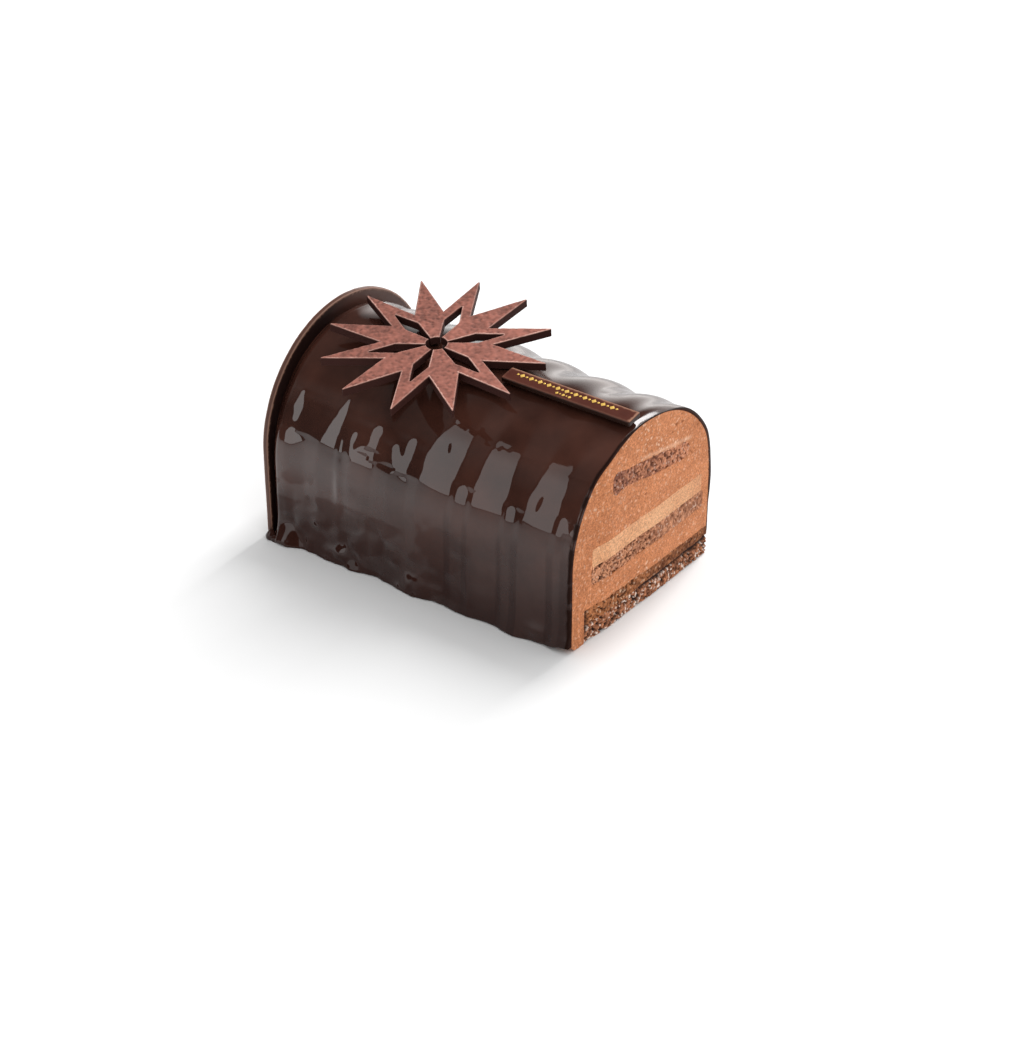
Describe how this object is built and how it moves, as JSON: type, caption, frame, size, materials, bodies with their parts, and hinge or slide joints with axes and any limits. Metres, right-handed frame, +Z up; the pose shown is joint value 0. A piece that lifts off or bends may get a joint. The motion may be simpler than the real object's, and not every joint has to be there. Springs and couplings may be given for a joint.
{
  "type": "yule log cake",
  "caption": "Cut yule log cake of chocolate mousse with sponge and cream layers under a mirror glaze, topped with a pointed star, a slim bar and an arched end disc.",
  "frame": {"origin": "bottom centre of the bounding box, on the surface the cake stands on", "axes": "+X along the log and out of the cut face, +Y across the log, +Z up"},
  "size_m": [0.1274, 0.0922, 0.0787],
  "materials": {
    "glaze": "mirror-gloss dark chocolate glaze",
    "mousse": "moist, finely pitted chocolate mousse",
    "cream": "smooth pale chocolate cream",
    "sponge": "open-pored cocoa sponge",
    "base_sponge": "dark, coarse cocoa sponge",
    "plain_chocolate": "satin tempered chocolate",
    "velvet_chocolate": "dry sprayed chocolate with a velvet grain",
    "bar_chocolate": null
  },
  "bodies": {
    "root": {"glaze": "glaze", "mousse_core": "mousse", "upper_sponge": "sponge", "cream_layer": "cream", "middle_sponge": "sponge", "base_sponge_top": "base_sponge", "base_sponge_bottom": "base_sponge", "end_disc": "plain_chocolate", "star": "velvet_chocolate", "plaque": "bar_chocolate"}
  },
  "joints": []
}
